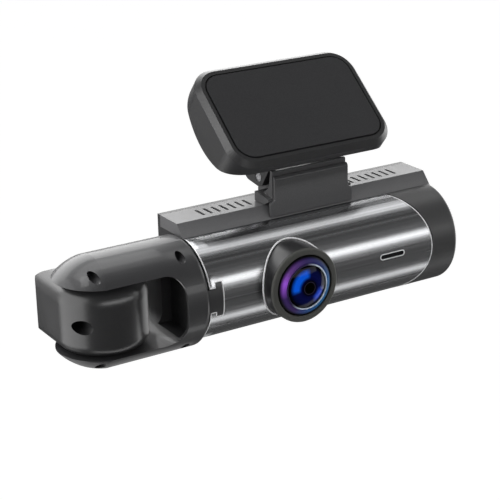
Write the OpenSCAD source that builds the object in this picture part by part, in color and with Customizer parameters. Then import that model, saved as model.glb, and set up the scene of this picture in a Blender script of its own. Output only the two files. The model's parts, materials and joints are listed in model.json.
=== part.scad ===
// Dash camera: cylindrical body with a flat display back, front lens barrel,
// two-prong arm with a swivelling cabin camera, and a tilting windscreen mount.
// Millimetres, +Z up, the front lens looks along -Y, the origin is the middle of
// the adhesive face. The sub-parts are drawn in the body's own frame, whose X axis
// is the centre line of the brushed cover and whose X = 0 is the cover's left end.

/* [Body] */
// Radius of the brushed front cover
body_r = 15.5; // [14.5:0.1:16]
// Length of the front cover along its front line
cover_len = 79.7; // [79:0.1:81]
// Right end of the body
body_end = 89.6; // [89:0.1:90]
// Left end of the body's top and rear covers
body_start = -0.3; // [-0.4:0.05:-0.1]
// Height of the flat top above the centre line
slab_top = 19.05; // [18.5:0.05:19.5]
// Distance from the centre line to the front edge of the flat top
slab_front = 2.4; // [2:0.1:3]
// Distance from the centre line to the flat back
back_y = 13.9; // [13.5:0.1:14.5]
// Wall of the moulded covers
wall = 1.4; // [1.2:0.1:1.6]
// Plan angle of the slanted joint beside the end cap
joint_turn = 32.5; // [25:0.5:35]
// Lean of the same joint
joint_lean = 2.8; // [0:0.1:4]

/* [Top vents] */
// Vent slots in each of the two groups
vent_count = 7; // [4:1:7]
// Spacing of the slots
vent_pitch = 2.72; // [2.4:0.02:2.8]
// Width of a slot
vent_w = 0.95; // [0.6:0.05:1.2]
// Length of a slot
vent_len = 5.4; // [4:0.1:6]

/* [Front lens] */
// Distance of the lens axis from the cover's left end
lens_x = 29.15; // [28:0.05:31]
// Height of the lens axis above the centre line
lens_z = 0.45; // [0:0.05:1]
// Radius of the barrel
barrel_r = 11.3; // [11:0.1:11.6]
// Distance from the centre line to the barrel's front rim
barrel_front = 20; // [19:0.1:21]

/* [Arm and cabin camera] */
// Radius of the two-prong arm
arm_r = 16.6; // [16.2:0.1:16.8]
// Drop of the arm's centre line below the body's
arm_drop = 0.35; // [0.2:0.05:0.5]
// Distance of the swivel axis from the cover's left end
pivot_x = -27.2; // [-28:0.1:-27]
// Radius of the arm's rounded nose about the swivel axis
nose_r = 13.4; // [13:0.1:14]
// Radius of the cabin camera's rounded front
pod_r = 13.3; // [12.8:0.1:13.3]
// Distance from the swivel axis to the cabin camera's rear face
pod_rear = 17.6; // [17:0.1:17.8]

/* [Windscreen mount] */
// Rake of the windscreen above the horizontal
rake = 40; // [35:1:45]
// Width of the pad
pad_w = 57.2; // [54:0.2:60]
// Height of the pad
pad_h = 36.8; // [34:0.2:38]
// Corner radius of the pad
pad_corner = 8.2; // [6:0.2:10]
// Thickness of the pad at its upper and lower edges
pad_edge_t = 3.9; // [3.6:0.1:5]
// Thickness of the pad in the middle
pad_mid_t = 12.5; // [12:0.1:13]
// Radius of the hinge pin
pin_r = 1.5; // [1.2:0.1:1.6]

/* [Hidden] */
$fn = 96;
fit = 0.05;
play = 0.1;

// Middle of the body, of the mount and of the pad
mid_x = (body_start + body_end) / 2;

// Adhesive face in the body's frame
face_y = 8;
face_z = 46.2;

// Hinge pin in the body's frame, and in the pad's frame (up the face, out of the face)
hinge_y = 8.6;
hinge_z = 25.9;
hinge_up = (hinge_y - face_y) * cos(rake) + (hinge_z - face_z) * sin(rake);
hinge_out = (hinge_z - face_z) * cos(rake) - (hinge_y - face_y) * sin(rake);
knuckle_r = 3;
barrel_half = 10.3;
lug_in = 10.8;
lug_out = 13.05;

// Pad: split line, recess for the adhesive, radius of the curved back
pad_split = 2.9;
rim_gap = 0.15;
recess_floor = 1.25;
recess_w = pad_w - 5.4;
recess_h = pad_h - 5.6;
recess_corner = pad_corner - 2.4;
groove = 0.5;
dome_rise = pad_mid_t - pad_edge_t;
dome_r = (pow(pad_h / 2, 2) + pow(dome_rise, 2)) / (2 * dome_rise);
pad_wall = 1.8;
pad_screw_x = pad_w / 2 - 8;
pad_screw_y = pad_h / 2 - 8;

// Bracket
base_half = 15.05;
cover_half = 14.8;
plate_half = 13.25;
plate_front = -1.05;
plate_back = 0.05;
plate_top = 28.1;
wall_front = 0.4;
wall_top = 29.5;
base_rear = 7.6;
post_rear = 13.2;
bracket_screw_x = 7.6;
bracket_screw_y = 9.4;

// Front cover seam and shells inside it
vent_mid = 45.35;
seam_y = -1.2;
lower_edge_y = 2;
skin = 1;
housing_gap = 0.05;
bevel_bottom = [-0.9, 15.35];
rear_frame_y = 12.4;
lower_z = -body_r;

// Interlocking tab at the left end of the cover
tab_stem = [2.3, 6.8];
tab_bar = [1.8, 9.8];
tab_z = 0.6;

// Indicator slot
indicator_x = 64.3;
indicator_z = 1.1;
indicator_len = 9.2;
indicator_h = 1.9;

// Display
screen_x = [2.7, 80.3];
screen_z = [-13.7, 17.2];
lcd_x = [3.5, 79.3];
lcd_z = [-13, 16.4];
ledge = 0.9;

// Keys beside the display
key_x = 84.9;
key_w = 5;
key_h = 4.4;
key_zs = [12.8, 6.2, -0.4, -7];
key_flange_y = 12.35;

// Circuit board and sockets
board_y = [7.4, 8.6];
card_z = 7.7;
card_y = 5.6;
usb_z = -5.5;
usb_y = 5.6;

// Arm: opening between the prongs, split plane, screws
gap_low = -10.6;
gap_high = 10.3;
gap_right = -7.7;
gap_corner = 5.5;
arm_z = -arm_drop;
arm_split = 6;
arm_back = 14.5;
arm_end = -0.5;
nose_dome_r = 17.7;
nose_dome_z = 1;
collar_bore = 11.5;
pocket_r = 15.6;

// Arm screws: distance along the arm and from its centre line, the low row a little nearer to it
arm_screw_spots = [[-32.7, 13.35], [-5.9, 13.8]];
arm_screw_low_row = 0.7;
arm_screw_r = 0.7;
arm_screw_head_r = 1.2;

// Cabin camera
pod_x = pivot_x + 0.3;
pod_low = gap_low + 0.35;
pod_high = gap_high - 0.7;
pod_mid = (pod_low + pod_high) / 2;
pod_wall = 1.5;
pod_split = 13.5;
pod_top_edge = 5;
pod_low_edge = 3.4;
pod_corner = 3.6;
pod_rear_top = 6;
pod_rear_low = 2;
pod_hole_x = pivot_x - 9.7;
pod_hole_z = -0.8;

// Window in the rear face of the cabin camera, and the lamps behind it
window_z = pod_mid - 1.4;
window_w = 19;
window_h = 10.6;
pod_lamp_x = 5.2;
pod_lamp_z = 3;

// ---- helpers -------------------------------------------------------------

module placed() {
    translate([-mid_x, -face_y, -face_z])
        children();
}

module on_pad() {
    rotate([rake, 0, 0])
        children();
}

module x_extrude(x0, x1) {
    translate([x0, 0, 0])
        rotate([90, 0, 90])
            linear_extrude(x1 - x0)
                children();
}

module y_extrude(y0, y1) {
    translate([0, y1, 0])
        rotate([90, 0, 0])
            linear_extrude(y1 - y0)
                children();
}

module z_extrude(z0, z1) {
    translate([0, 0, z0])
        linear_extrude(z1 - z0)
            children();
}

module x_cyl(r, x0, x1, y = 0, z = 0) {
    translate([x0, y, z])
        rotate([0, 90, 0])
            cylinder(r = r, h = x1 - x0);
}

module y_cyl(r, y0, y1, x, z) {
    translate([x, y1, z])
        rotate([90, 0, 0])
            cylinder(r = r, h = y1 - y0);
}

module z_cyl(r, z0, z1, x, y) {
    translate([x, y, z0])
        cylinder(r = r, h = z1 - z0);
}

module box(x, y, z) {
    translate([x[0], y[0], z[0]])
        cube([x[1] - x[0], y[1] - y[0], z[1] - z[0]]);
}

// Rounded rectangle about the origin
module round_rect(w, h, r) {
    square([w - 2 * r, h], center = true);
    square([w, h - 2 * r], center = true);
    for (sx = [-1, 1], sy = [-1, 1])
        translate([sx * (w / 2 - r), sy * (h / 2 - r)])
            circle(r);
}

// Slot with round ends along X
module slot_2d(len, h) {
    square([len - h, h], center = true);
    for (s = [-1, 1])
        translate([s * (len - h) / 2, 0])
            circle(h / 2);
}

// A ring about the front lens axis, from a profile of [radius, distance forward]
module lens_ring() {
    translate([lens_x, 0, lens_z])
        rotate([90, 0, 0])
            rotate_extrude()
                children();
}

// The same about the cabin camera's lens, looking rearwards
module pod_ring() {
    translate([pod_x, 0, window_z])
        rotate([-90, 0, 0])
            rotate_extrude()
                children();
}

// ---- windscreen pad ------------------------------------------------------

module adhesive_pad() {
    color([0.13, 0.13, 0.13])
        on_pad()
            z_extrude(-recess_floor, 0)
                round_rect(recess_w - 2 * groove, recess_h - 2 * groove, recess_corner - groove);
}

module pad_outline(inset = 0) {
    round_rect(pad_w - 2 * inset, pad_h - 2 * inset, pad_corner - inset);
}

module pad_screw_places() {
    for (sx = [-1, 1], sy = [-1, 1])
        translate([sx * pad_screw_x, sy * pad_screw_y, 0])
            children();
}

module pad_plate() {
    rim_chamfer = 1.6;
    color([0.16, 0.16, 0.16])
        on_pad()
            difference() {
                union() {
                    hull() {
                        z_extrude(-rim_gap - 0.01, -rim_gap)
                            pad_outline(rim_chamfer, $fn = 64);
                        z_extrude(-rim_gap - rim_chamfer - 0.01, -rim_gap - rim_chamfer)
                            pad_outline($fn = 64);
                    }
                    z_extrude(-pad_split, -rim_gap - rim_chamfer)
                        pad_outline();
                }
                z_extrude(-recess_floor, 1)
                    round_rect(recess_w, recess_h, recess_corner);
                pad_screw_places() {
                    z_cyl(1, -pad_split - 1, 0, 0, 0);
                    z_cyl(1.9, -recess_floor - 1.1, 0, 0, 0);
                }
            }
}

module dome(r_less = 0) {
    x_cyl(dome_r - r_less, -pad_w, pad_w, 0, dome_r - pad_mid_t);
}

module pad_back() {
    color([0.15, 0.15, 0.15])
        on_pad()
            difference() {
                union() {
                    intersection() {
                        z_extrude(-pad_mid_t - 1, -pad_split)
                            pad_outline();
                        dome();
                    }
                    // two lugs that hold the pin
                    for (s = [-1, 1])
                        translate([s * (lug_in + lug_out) / 2, 0, 0])
                            x_extrude((lug_in - lug_out) / 2, (lug_out - lug_in) / 2)
                                pad_lug();
                }
                difference() {
                    intersection() {
                        z_extrude(-pad_mid_t, -pad_split + 1)
                            pad_outline(pad_wall);
                        dome(pad_wall);
                    }
                    pad_screw_places()
                        z_cyl(2.4, -pad_mid_t, -pad_split, 0, 0);
                }
                pad_screw_places()
                    z_cyl(0.9, -8.1, 0, 0, 0);
                x_cyl(pin_r, -20, 20, hinge_up, hinge_out);
            }
}

// Side view of a lug, in the pad's frame: up the face, out of the face
module pad_lug() {
    translate([hinge_up, hinge_out])
        circle(knuckle_r);
    translate([hinge_up + 4.2, hinge_out - 2.6])
        circle(knuckle_r);
    polygon([
        [hinge_up - knuckle_r, hinge_out], [hinge_up - 2.2, -6.9], [hinge_up + 13, -10.6],
        [hinge_up + 10.4, hinge_out - 1.2], [hinge_up + 6.15, hinge_out - 4.9],
        [hinge_up + 2.6, hinge_out - 5.13], [hinge_up - 1.58, hinge_out - 2.55]
    ]);
}

module pad_screws() {
    color([0.55, 0.55, 0.57])
        on_pad()
            pad_screw_places() {
                z_cyl(0.9, -8, -recess_floor - 1.1, 0, 0);
                difference() {
                    z_cyl(1.8, -recess_floor - 1.1, -recess_floor - 0.1, 0, 0);
                    z_cyl(0.7, -recess_floor - 0.6, 0, 0, 0, $fn = 6);
                }
            }
}

// ---- bracket -------------------------------------------------------------

module hinge_pin() {
    color([0.75, 0.75, 0.77])
        placed()
            x_cyl(pin_r, mid_x - lug_out + 0.15, mid_x + lug_out - 0.15, hinge_y, hinge_z);
}

module hinge_washers() {
    t = lug_in - barrel_half - fit;
    color([0.6, 0.6, 0.62])
        placed()
            for (s = [-1, 1])
                translate([mid_x + s * (lug_in - t / 2), 0, 0])
                    difference() {
                        x_cyl(knuckle_r - 0.3, -t / 2, t / 2, hinge_y, hinge_z);
                        x_cyl(pin_r, -1, 1, hinge_y, hinge_z);
                    }
}

module bracket_screw_places() {
    for (s = [-1, 1])
        translate([mid_x + s * bracket_screw_x, bracket_screw_y, 0])
            children();
}

module mount_bracket() {
    color([0.2, 0.2, 0.2])
        placed()
            difference() {
                union() {
                    // base block on the flat top
                    x_extrude(mid_x - base_half, mid_x + base_half)
                        polygon([
                            [plate_back, 20.3], [plate_back, 21.2], [base_rear, 22.1],
                            [base_rear, slab_top + play], [slab_front + 0.1, slab_top + play]
                        ]);
                    // upright wall behind the cover
                    x_extrude(mid_x - plate_half, mid_x + plate_half)
                        polygon([
                            [wall_front, 20.6], [wall_front, wall_top - 0.3], [wall_front + 0.3, wall_top],
                            [1.6, wall_top], [2.4, 24], [6, 21.4]
                        ]);
                    // post and barrel that carry the pin
                    x_extrude(mid_x - barrel_half, mid_x + barrel_half) {
                        translate([hinge_y, hinge_z])
                            circle(knuckle_r);
                        polygon([
                            [hinge_y - knuckle_r, hinge_z], [hinge_y - knuckle_r, slab_top + play],
                            [post_rear, slab_top + play], [post_rear, 20.8], [hinge_y + knuckle_r, hinge_z]
                        ]);
                    }
                }
                x_cyl(pin_r + fit, mid_x - 20, mid_x + 20, hinge_y, hinge_z);
                bracket_screw_places()
                    z_cyl(0.9, 15, 21, 0, 0);
            }
}

// Cover over the bracket's front: wide foot in front of the bevel, narrow upright plate
module bracket_cover() {
    color([0.2, 0.2, 0.2])
        placed()
            intersection() {
                y_extrude(plate_front, plate_back)
                    translate([mid_x, 0])
                        polygon([
                            [-cover_half, 15.95], [cover_half, 15.95], [cover_half, 20],
                            [plate_half, 21], [plate_half, plate_top], [-plate_half, plate_top],
                            [-plate_half, 21], [-cover_half, 20]
                        ]);
                x_extrude(mid_x - 20, mid_x + 20)
                    polygon([
                        [plate_front, 15.95], [plate_front, plate_top - 0.7],
                        [plate_front + 0.7, plate_top], [plate_back, plate_top],
                        [plate_back, 17.1], [-0.65, 15.95]
                    ]);
            }
}

module bracket_screws() {
    color([0.55, 0.55, 0.57])
        placed()
            bracket_screw_places() {
                z_cyl(0.9, slab_top - wall, 21, 0, 0);
                difference() {
                    z_cyl(1.8, slab_top - wall - 1, slab_top - wall, 0, 0);
                    z_cyl(0.7, slab_top - wall - 2, slab_top - wall - 0.5, 0, 0, $fn = 6);
                }
            }
}

// ---- body covers ---------------------------------------------------------

// Part of the section that lies in front of the flat top and the rear box
module front_region_2d() {
    translate([-30, -30])
        square([30 + seam_y, 60]);
    translate([-30, -30])
        square([30 + lower_edge_y, 30]);
}

// Everything right of the slanted joint
module right_of_joint(gap = 0) {
    translate([cover_len, -body_r, 0])
        rotate([0, joint_lean, joint_turn])
            translate([gap, -60, -40])
                cube([80, 160, 80]);
}

module tab_2d(gap = 0) {
    translate([-5, tab_z - tab_stem[1] / 2 - gap])
        square([5 + tab_stem[0] + tab_bar[0] / 2, tab_stem[1] + 2 * gap]);
    translate([tab_stem[0] - gap, tab_z - tab_bar[1] / 2 - gap])
        square([tab_bar[0] + 2 * gap, tab_bar[1] + 2 * gap]);
}

module indicator_place() {
    translate([indicator_x, indicator_z])
        children();
}

module front_cover() {
    color([0.42, 0.43, 0.45])
        placed()
            difference() {
                x_extrude(0, cover_len + 1)
                    intersection() {
                        difference() {
                            circle(body_r);
                            circle(body_r - skin);
                        }
                        front_region_2d();
                    }
                right_of_joint();
                y_cyl(barrel_r + fit, -30, 0, lens_x, lens_z);
                y_extrude(-30, 0)
                    indicator_place()
                        slot_2d(indicator_len + play, indicator_h + play);
                y_extrude(-30, 0)
                    tab_2d(0.08);
            }
}

module front_housing() {
    r_out = body_r - skin - housing_gap;
    color([0.1, 0.1, 0.1])
        placed()
            difference() {
                union() {
                    x_extrude(5.5, 80)
                        intersection() {
                            difference() {
                                circle(r_out);
                                circle(r_out - wall);
                            }
                            translate([-0.2, 0])
                                front_region_2d();
                        }
                    // lugs that take the housing screws from below
                    for (x = [14.5, 61])
                        box([x - 3, x + 3], [-1, 9.5], [-13.9, -11.4]);
                }
                for (x = [14.5, 61])
                    z_cyl(0.9, -15, -11.9, x, 6.8);
                y_cyl(barrel_r + fit, -30, 0, lens_x, lens_z);
                y_extrude(-30, 0)
                    indicator_place()
                        slot_2d(indicator_len - 0.6, indicator_h - 0.5);
                right_of_joint(-0.4);
            }
}

module slab_2d() {
    polygon([
        bevel_bottom, [slab_front, slab_top],
        [rear_frame_y, slab_top], [rear_frame_y, bevel_bottom[1]]
    ]);
}

module top_cover() {
    color([0.3, 0.3, 0.31])
        placed()
            difference() {
                x_extrude(body_start, body_end)
                    slab_2d();
                x_extrude(body_start + wall, body_end - wall)
                    polygon([
                        [1.1, bevel_bottom[1] - 1], [1.1, bevel_bottom[1]], [3.1, slab_top - wall],
                        [rear_frame_y + 1, slab_top - wall], [rear_frame_y + 1, bevel_bottom[1] - 1]
                    ]);
                bracket_screw_places()
                    z_cyl(1, 15.8, slab_top + 1, 0, 0);
                for (side = [-1, 1], i = [0 : vent_count - 1])
                    translate([vent_mid + side * (18.65 + i * vent_pitch), 7.4, 0])
                        z_extrude(slab_top - wall - 1, slab_top + 1)
                            rotate(90)
                                slot_2d(vent_len, vent_w);
            }
}

module rear_outline_2d() {
    // bottom rear and top rear corners are rounded
    r = 2;
    difference() {
        union() {
            translate([lower_edge_y, lower_z])
                square([back_y - lower_edge_y, slab_top - lower_z]);
            translate([seam_y + play, play])
                square([lower_edge_y - seam_y, bevel_bottom[1] - 2 * play]);
        }
        difference() {
            translate([back_y - r, lower_z])
                square(r + 1);
            translate([back_y - r, lower_z + r])
                circle(r);
            translate([back_y - r - 1, lower_z + r])
                square(r + 2);
        }
        translate([lower_edge_y - 5, bevel_bottom[1] - play])
            square([rear_frame_y - lower_edge_y + 5 + fit, 10]);
    }
}

module key_places() {
    for (z = key_zs)
        translate([key_x, z])
            children();
}

module rear_housing() {
    color([0.09, 0.09, 0.09])
        placed()
            difference() {
                x_extrude(body_start, body_end)
                    rear_outline_2d();
                // inside
                box([body_start + wall, body_end - wall], [-5, rear_frame_y], [lower_z + wall, 30]);
                // display window and the ledge for its glass
                box([lcd_x[0] - play, lcd_x[1] + play], [0, 20], [lcd_z[0] - play, lcd_z[1] + play]);
                box([screen_x[0] - play, screen_x[1] + play], [back_y - ledge, 20],
                    [screen_z[0] - play, screen_z[1] + play]);
                y_extrude(0, 20)
                    key_places()
                        round_rect(key_w + 0.3, key_h + 0.3, 1.1);
                // sockets in the right-hand end
                box([80, 95], [card_y - 0.7, card_y + 0.7], [card_z - 6, card_z + 6]);
                x_extrude(80, 95)
                    translate([usb_y, usb_z])
                        rotate(90)
                            slot_2d(9.6, 3.8);
                // neck of the arm
                x_cyl(8.1, -5, 5);
                for (x = [14.5, 61]) {
                    z_cyl(1, -20, -10, x, 6.8);
                    z_cyl(1.9, -20, lower_z + 0.7, x, 6.8);
                }
                // sound slots under the speaker
                for (i = [0 : 2])
                    box([23.7 + i * 2.2, 24.7 + i * 2.2], [4.4, 8.8], [-20, -10]);
            }
}

module housing_screws() {
    color([0.55, 0.55, 0.57])
        placed()
            for (x = [14.5, 61]) {
                z_cyl(0.9, lower_z + 0.7, -12, x, 6.8);
                difference() {
                    z_cyl(1.8, lower_z + 0.05, lower_z + 0.7, x, 6.8);
                    z_cyl(0.7, lower_z - 1, lower_z + 0.4, x, 6.8, $fn = 6);
                }
            }
}

module end_cap() {
    edge_r = 1.2;
    cap_r = body_r + 0.1;
    color([0.07, 0.07, 0.07])
        placed()
            intersection() {
                rotate([0, 90, 0])
                    rotate_extrude()
                        difference() {
                            union() {
                                translate([0, 60])
                                    square([cap_r, body_end - edge_r - 60]);
                                translate([0, body_end - 2 * edge_r])
                                    square([cap_r - edge_r, 2 * edge_r]);
                                translate([cap_r - edge_r, body_end - edge_r])
                                    circle(edge_r);
                            }
                            translate([-1, 50])
                                square([cap_r - wall + 1, body_end - wall - 50]);
                        }
                x_extrude(60, 100)
                    intersection() {
                        translate([-play, 0])
                            front_region_2d();
                        translate([-30, -30])
                            square([60, 60]);
                    }
                right_of_joint(0.3);
            }
}

// ---- front lens ----------------------------------------------------------

module barrel_housing() {
    color([0.03, 0.03, 0.03])
        placed()
            difference() {
                y_cyl(barrel_r, -barrel_front + 0.8, -8.5, lens_x, lens_z);
                y_cyl(9.35, -30, -12, lens_x, lens_z);
                y_cyl(7.6, -30, 0, lens_x, lens_z);
            }
}

module barrel_base_ring() {
    color([0.8, 0.8, 0.82])
        placed()
            intersection() {
                difference() {
                    y_cyl(barrel_r + 0.55, -20, 0, lens_x, lens_z);
                    y_cyl(barrel_r + fit, -30, 5, lens_x, lens_z);
                    x_cyl(body_r, 0, 80);
                }
                x_cyl(body_r + 0.6, 0, 80);
            }
}

module barrel_front_ring() {
    color([0.12, 0.12, 0.12])
        placed()
            lens_ring()
                polygon([
                    [9.35, barrel_front - 0.8], [barrel_r, barrel_front - 0.8],
                    [barrel_r, barrel_front - 0.35], [barrel_r - 0.35, barrel_front],
                    [9.7, barrel_front], [9.35, barrel_front - 0.3]
                ]);
}

module lens_coated_ring() {
    color([0.12, 0.05, 0.3])
        placed()
            lens_ring()
                polygon([
                    [7, barrel_front - 1], [9.3, barrel_front - 1],
                    [9.3, barrel_front - 0.25], [7, barrel_front + 0.9]
                ]);
}

module lens_trim_ring() {
    color([0.8, 0.8, 0.82])
        placed()
            lens_ring()
                polygon([
                    [6.55, barrel_front - 1], [6.95, barrel_front - 1],
                    [6.95, barrel_front + 1.1], [6.75, barrel_front + 1.25], [6.55, barrel_front + 1.1]
                ]);
}

module front_lens() {
    cap_r = 14;
    edge = 6.5;
    drop = sqrt(cap_r * cap_r - edge * edge);
    color([0.02, 0.08, 0.4])
        placed()
            intersection() {
                translate([lens_x, -(barrel_front + 0.95) + drop, lens_z])
                    sphere(r = cap_r);
                y_cyl(edge, -30, -barrel_front + 1, lens_x, lens_z);
            }
}

module rear_lens() {
    color([0.1, 0.1, 0.3])
        placed()
            y_cyl(5.4, -barrel_front + 2.4, -barrel_front + 4, lens_x, lens_z);
}

module lens_holder() {
    color([0.04, 0.04, 0.04])
        placed()
            difference() {
                union() {
                    y_cyl(7.5, -barrel_front + 1.1, 0.6, lens_x, lens_z);
                    y_cyl(9.2, -barrel_front + 1.1, -barrel_front + 2.3, lens_x, lens_z);
                }
                y_cyl(5.45, -30, -barrel_front + 4, lens_x, lens_z);
                y_cyl(3, -30, 5, lens_x, lens_z);
            }
}

module sensor_board() {
    color([0.05, 0.3, 0.15])
        placed()
            box([lens_x - 8.5, lens_x + 8.5], [0.7, 1.9], [lens_z - 8.5, lens_z + 8.5]);
}

// ---- indicator -----------------------------------------------------------

module indicator_bezel() {
    color([0.8, 0.8, 0.82])
        placed()
            intersection() {
                y_extrude(-20, -14.5)
                    difference() {
                        indicator_place()
                            slot_2d(indicator_len, indicator_h);
                        indicator_place()
                            slot_2d(indicator_len - 0.9, indicator_h - 0.9);
                    }
                x_cyl(body_r + 0.12, 50, 80);
            }
}

module indicator_window() {
    color([0.02, 0.02, 0.02])
        placed()
            y_extrude(-15.2, -13)
                indicator_place()
                    slot_2d(indicator_len - 1, indicator_h - 1);
}

// ---- display and electronics ---------------------------------------------

module screen_glass() {
    color([0.01, 0.01, 0.015])
        placed()
            box(screen_x, [back_y - ledge + 0.02, back_y - 0.05], screen_z);
}

module lcd_module() {
    color([0.2, 0.2, 0.22])
        placed()
            box(lcd_x, [10.2, back_y - ledge], lcd_z);
}

module main_board() {
    color([0.05, 0.3, 0.15])
        placed()
            box([6, 87.6], board_y, [-10.2, 14.2]);
}

module key_switches() {
    color([0.6, 0.6, 0.6])
        placed()
            for (z = key_zs)
                translate([key_x, 0, z]) {
                    box([-2.2, 2.2], [board_y[1], 10.1], [-1.9, 1.9]);
                    y_cyl(1.2, 10, 10.5, 0, 0);
                }
}

module processor_heatsink() {
    color([0.6, 0.6, 0.62])
        placed() {
            box([47, 61], [5.8, board_y[0]], [-5, 9]);
            for (i = [0 : 4])
                box([47 + i * 3.2, 48.2 + i * 3.2], [3.6, 5.8], [-5, 9]);
        }
}

module battery() {
    color([0.25, 0.3, 0.45])
        placed()
            box([44, 74], [-4, 2.4], [-9.5, 9.5]);
}

module speaker() {
    low = lower_z + wall + fit;
    color([0.2, 0.2, 0.2])
        placed()
            difference() {
                z_cyl(3.3, low, low + 3.4, 26.4, 6.6);
                z_cyl(2.6, low - 1, low + 0.6, 26.4, 6.6);
            }
}

module microphone() {
    color([0.7, 0.65, 0.4])
        placed()
            box([38, 41], [6.2, board_y[0]], [-9.9, -6.9]);
}

module card_socket() {
    color([0.65, 0.65, 0.67])
        placed()
            difference() {
                box([72.6, 87.9], [card_y - 1, board_y[0]], [card_z - 6.6, card_z + 6.6]);
                box([73.4, 90], [card_y - 0.55, card_y + 0.55], [card_z - 5.7, card_z + 5.7]);
            }
}

module memory_card() {
    color([0.05, 0.05, 0.05])
        placed()
            box([74.3, body_end - 0.3], [card_y - 0.4, card_y + 0.4], [card_z - 5.5, card_z + 5.5]);
}

module usb_socket() {
    color([0.65, 0.65, 0.67])
        placed() {
            difference() {
                x_extrude(82, body_end - 0.2)
                    translate([usb_y, usb_z])
                        rotate(90)
                            slot_2d(8.9, 3.2);
                x_extrude(83, 95)
                    translate([usb_y, usb_z])
                        rotate(90)
                            slot_2d(8.3, 2.6);
            }
            box([82.8, 88.6], [usb_y - 0.35, usb_y + 0.35], [usb_z - 3.2, usb_z + 3.2]);
        }
}

module key(index) {
    color([0.1, 0.1, 0.1])
        placed()
            translate([key_x, 0, key_zs[index]]) {
                y_extrude(key_flange_y - 0.1, back_y + 0.45)
                    round_rect(key_w, key_h, 1);
                y_extrude(key_flange_y - 0.8, key_flange_y)
                    round_rect(key_w + 1, key_h + 1, 1);
                y_cyl(1, 10.95, key_flange_y - 0.7, 0, 0);
            }
}

module power_key() {
    key(0);
}

module menu_key() {
    key(1);
}

module up_key() {
    key(2);
}

module down_key() {
    key(3);
}

// ---- arm -----------------------------------------------------------------

module arm_flange() {
    color([0.08, 0.08, 0.08])
        placed()
            difference() {
                union() {
                    x_cyl(collar_bore - fit, -3.35, -1.95, 0, arm_z);
                    x_cyl(8, -2, 1);
                }
                x_cyl(5.5, -10, 5);
            }
}

// Solid outline of the arm, before it is opened and split
module arm_blank() {
    shoulder = 1.5;
    intersection() {
        translate([0, 0, arm_z])
            rotate([0, 90, 0])
                rotate_extrude() {
                    translate([0, -45])
                        square([arm_r, 45 + arm_end - shoulder]);
                    translate([0, -10])
                        square([arm_r - shoulder, 10 + arm_end]);
                    translate([arm_r - shoulder, arm_end - shoulder])
                        circle(shoulder);
                }
        union() {
            box([pivot_x, 5], [-30, 30], [-30, 30]);
            intersection() {
                z_cyl(nose_r, -30, 30, pivot_x, 0);
                translate([pivot_x, 0, arm_z - nose_dome_z])
                    sphere(r = nose_dome_r);
                translate([pivot_x, 0, arm_z + nose_dome_z])
                    sphere(r = nose_dome_r);
            }
        }
        box([-60, 5], [-30, arm_back], [-30, 30]);
    }
}

module arm_openings() {
    // gap between the prongs
    y_extrude(-30, 30)
        difference() {
            translate([-60, gap_low])
                square([60 + gap_right, gap_high - gap_low]);
            for (top = [0, 1])
                translate([gap_right - gap_corner, top ? gap_high - gap_corner : gap_low + gap_corner])
                    difference() {
                        translate([0, top ? 0 : -gap_corner - 1])
                            square(gap_corner + 1);
                        circle(gap_corner);
                    }
        }
    // collar bore, with a lip that the flange hooks behind
    x_cyl(collar_bore, -3.4, -1.9, 0, arm_z);
    x_cyl(8.4, -2, 2);
    // recess in the collar's inner face
    x_extrude(gap_right - 4, -4.7)
        intersection() {
            translate([0, arm_z])
                circle(pocket_r);
            translate([-20, gap_low + 1.6])
                square([19.6, gap_high - gap_low - 3.2]);
        }
    // swivel pins
    z_cyl(pin_r, -13.6, 14, pivot_x, 0);
}

module arm_screw_places() {
    for (spot = arm_screw_spots, s = [-1, 1])
        translate([spot[0], 0, arm_z + s * spot[1] + (s < 0 ? arm_screw_low_row : 0)])
            children();
}

module arm_front_shell() {
    color([0.2, 0.2, 0.2])
        placed()
            difference() {
                union() {
                    intersection() {
                        arm_blank();
                        box([-60, 5], [-30, arm_split], [-30, 30]);
                    }
                    // interlocking tab and the spigot behind it, inside the front cover
                    intersection() {
                        x_extrude(-1, 5.2)
                            intersection() {
                                difference() {
                                    circle(body_r + 0.1);
                                    circle(body_r - skin - 1.5);
                                }
                                translate([-30, -9])
                                    square([30 - 3, 18]);
                            }
                        union() {
                            x_cyl(body_r - skin - housing_gap, -2, 6);
                            y_extrude(-30, 0)
                                tab_2d();
                        }
                    }
                }
                arm_openings();
                arm_screw_places() {
                    y_cyl(arm_screw_head_r + play, -30, -3, 0, 0);
                    y_cyl(arm_screw_r + play, -4, 10, 0, 0);
                }
            }
}

module arm_rear_shell() {
    color([0.2, 0.2, 0.2])
        placed()
            difference() {
                intersection() {
                    arm_blank();
                    box([-60, 5], [arm_split, 30], [-30, 30]);
                }
                arm_openings();
                arm_screw_places()
                    y_cyl(arm_screw_r, 0, 7.6, 0, 0);
            }
}

module arm_screws() {
    color([0.3, 0.3, 0.31])
        placed()
            arm_screw_places() {
                y_cyl(arm_screw_r, -3, 7.5, 0, 0);
                difference() {
                    y_cyl(arm_screw_head_r, -4.2, -3, 0, 0);
                    y_cyl(0.6, -5, -3.6, 0, 0, $fn = 6);
                }
            }
}

module pivot_pins() {
    color([0.7, 0.7, 0.72])
        placed() {
            z_cyl(pin_r, gap_high - 2.3, 14, pivot_x, 0);
            z_cyl(pin_r, -13.6, gap_low + 2.3, pivot_x, 0);
        }
}

// ---- cabin camera --------------------------------------------------------

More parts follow.
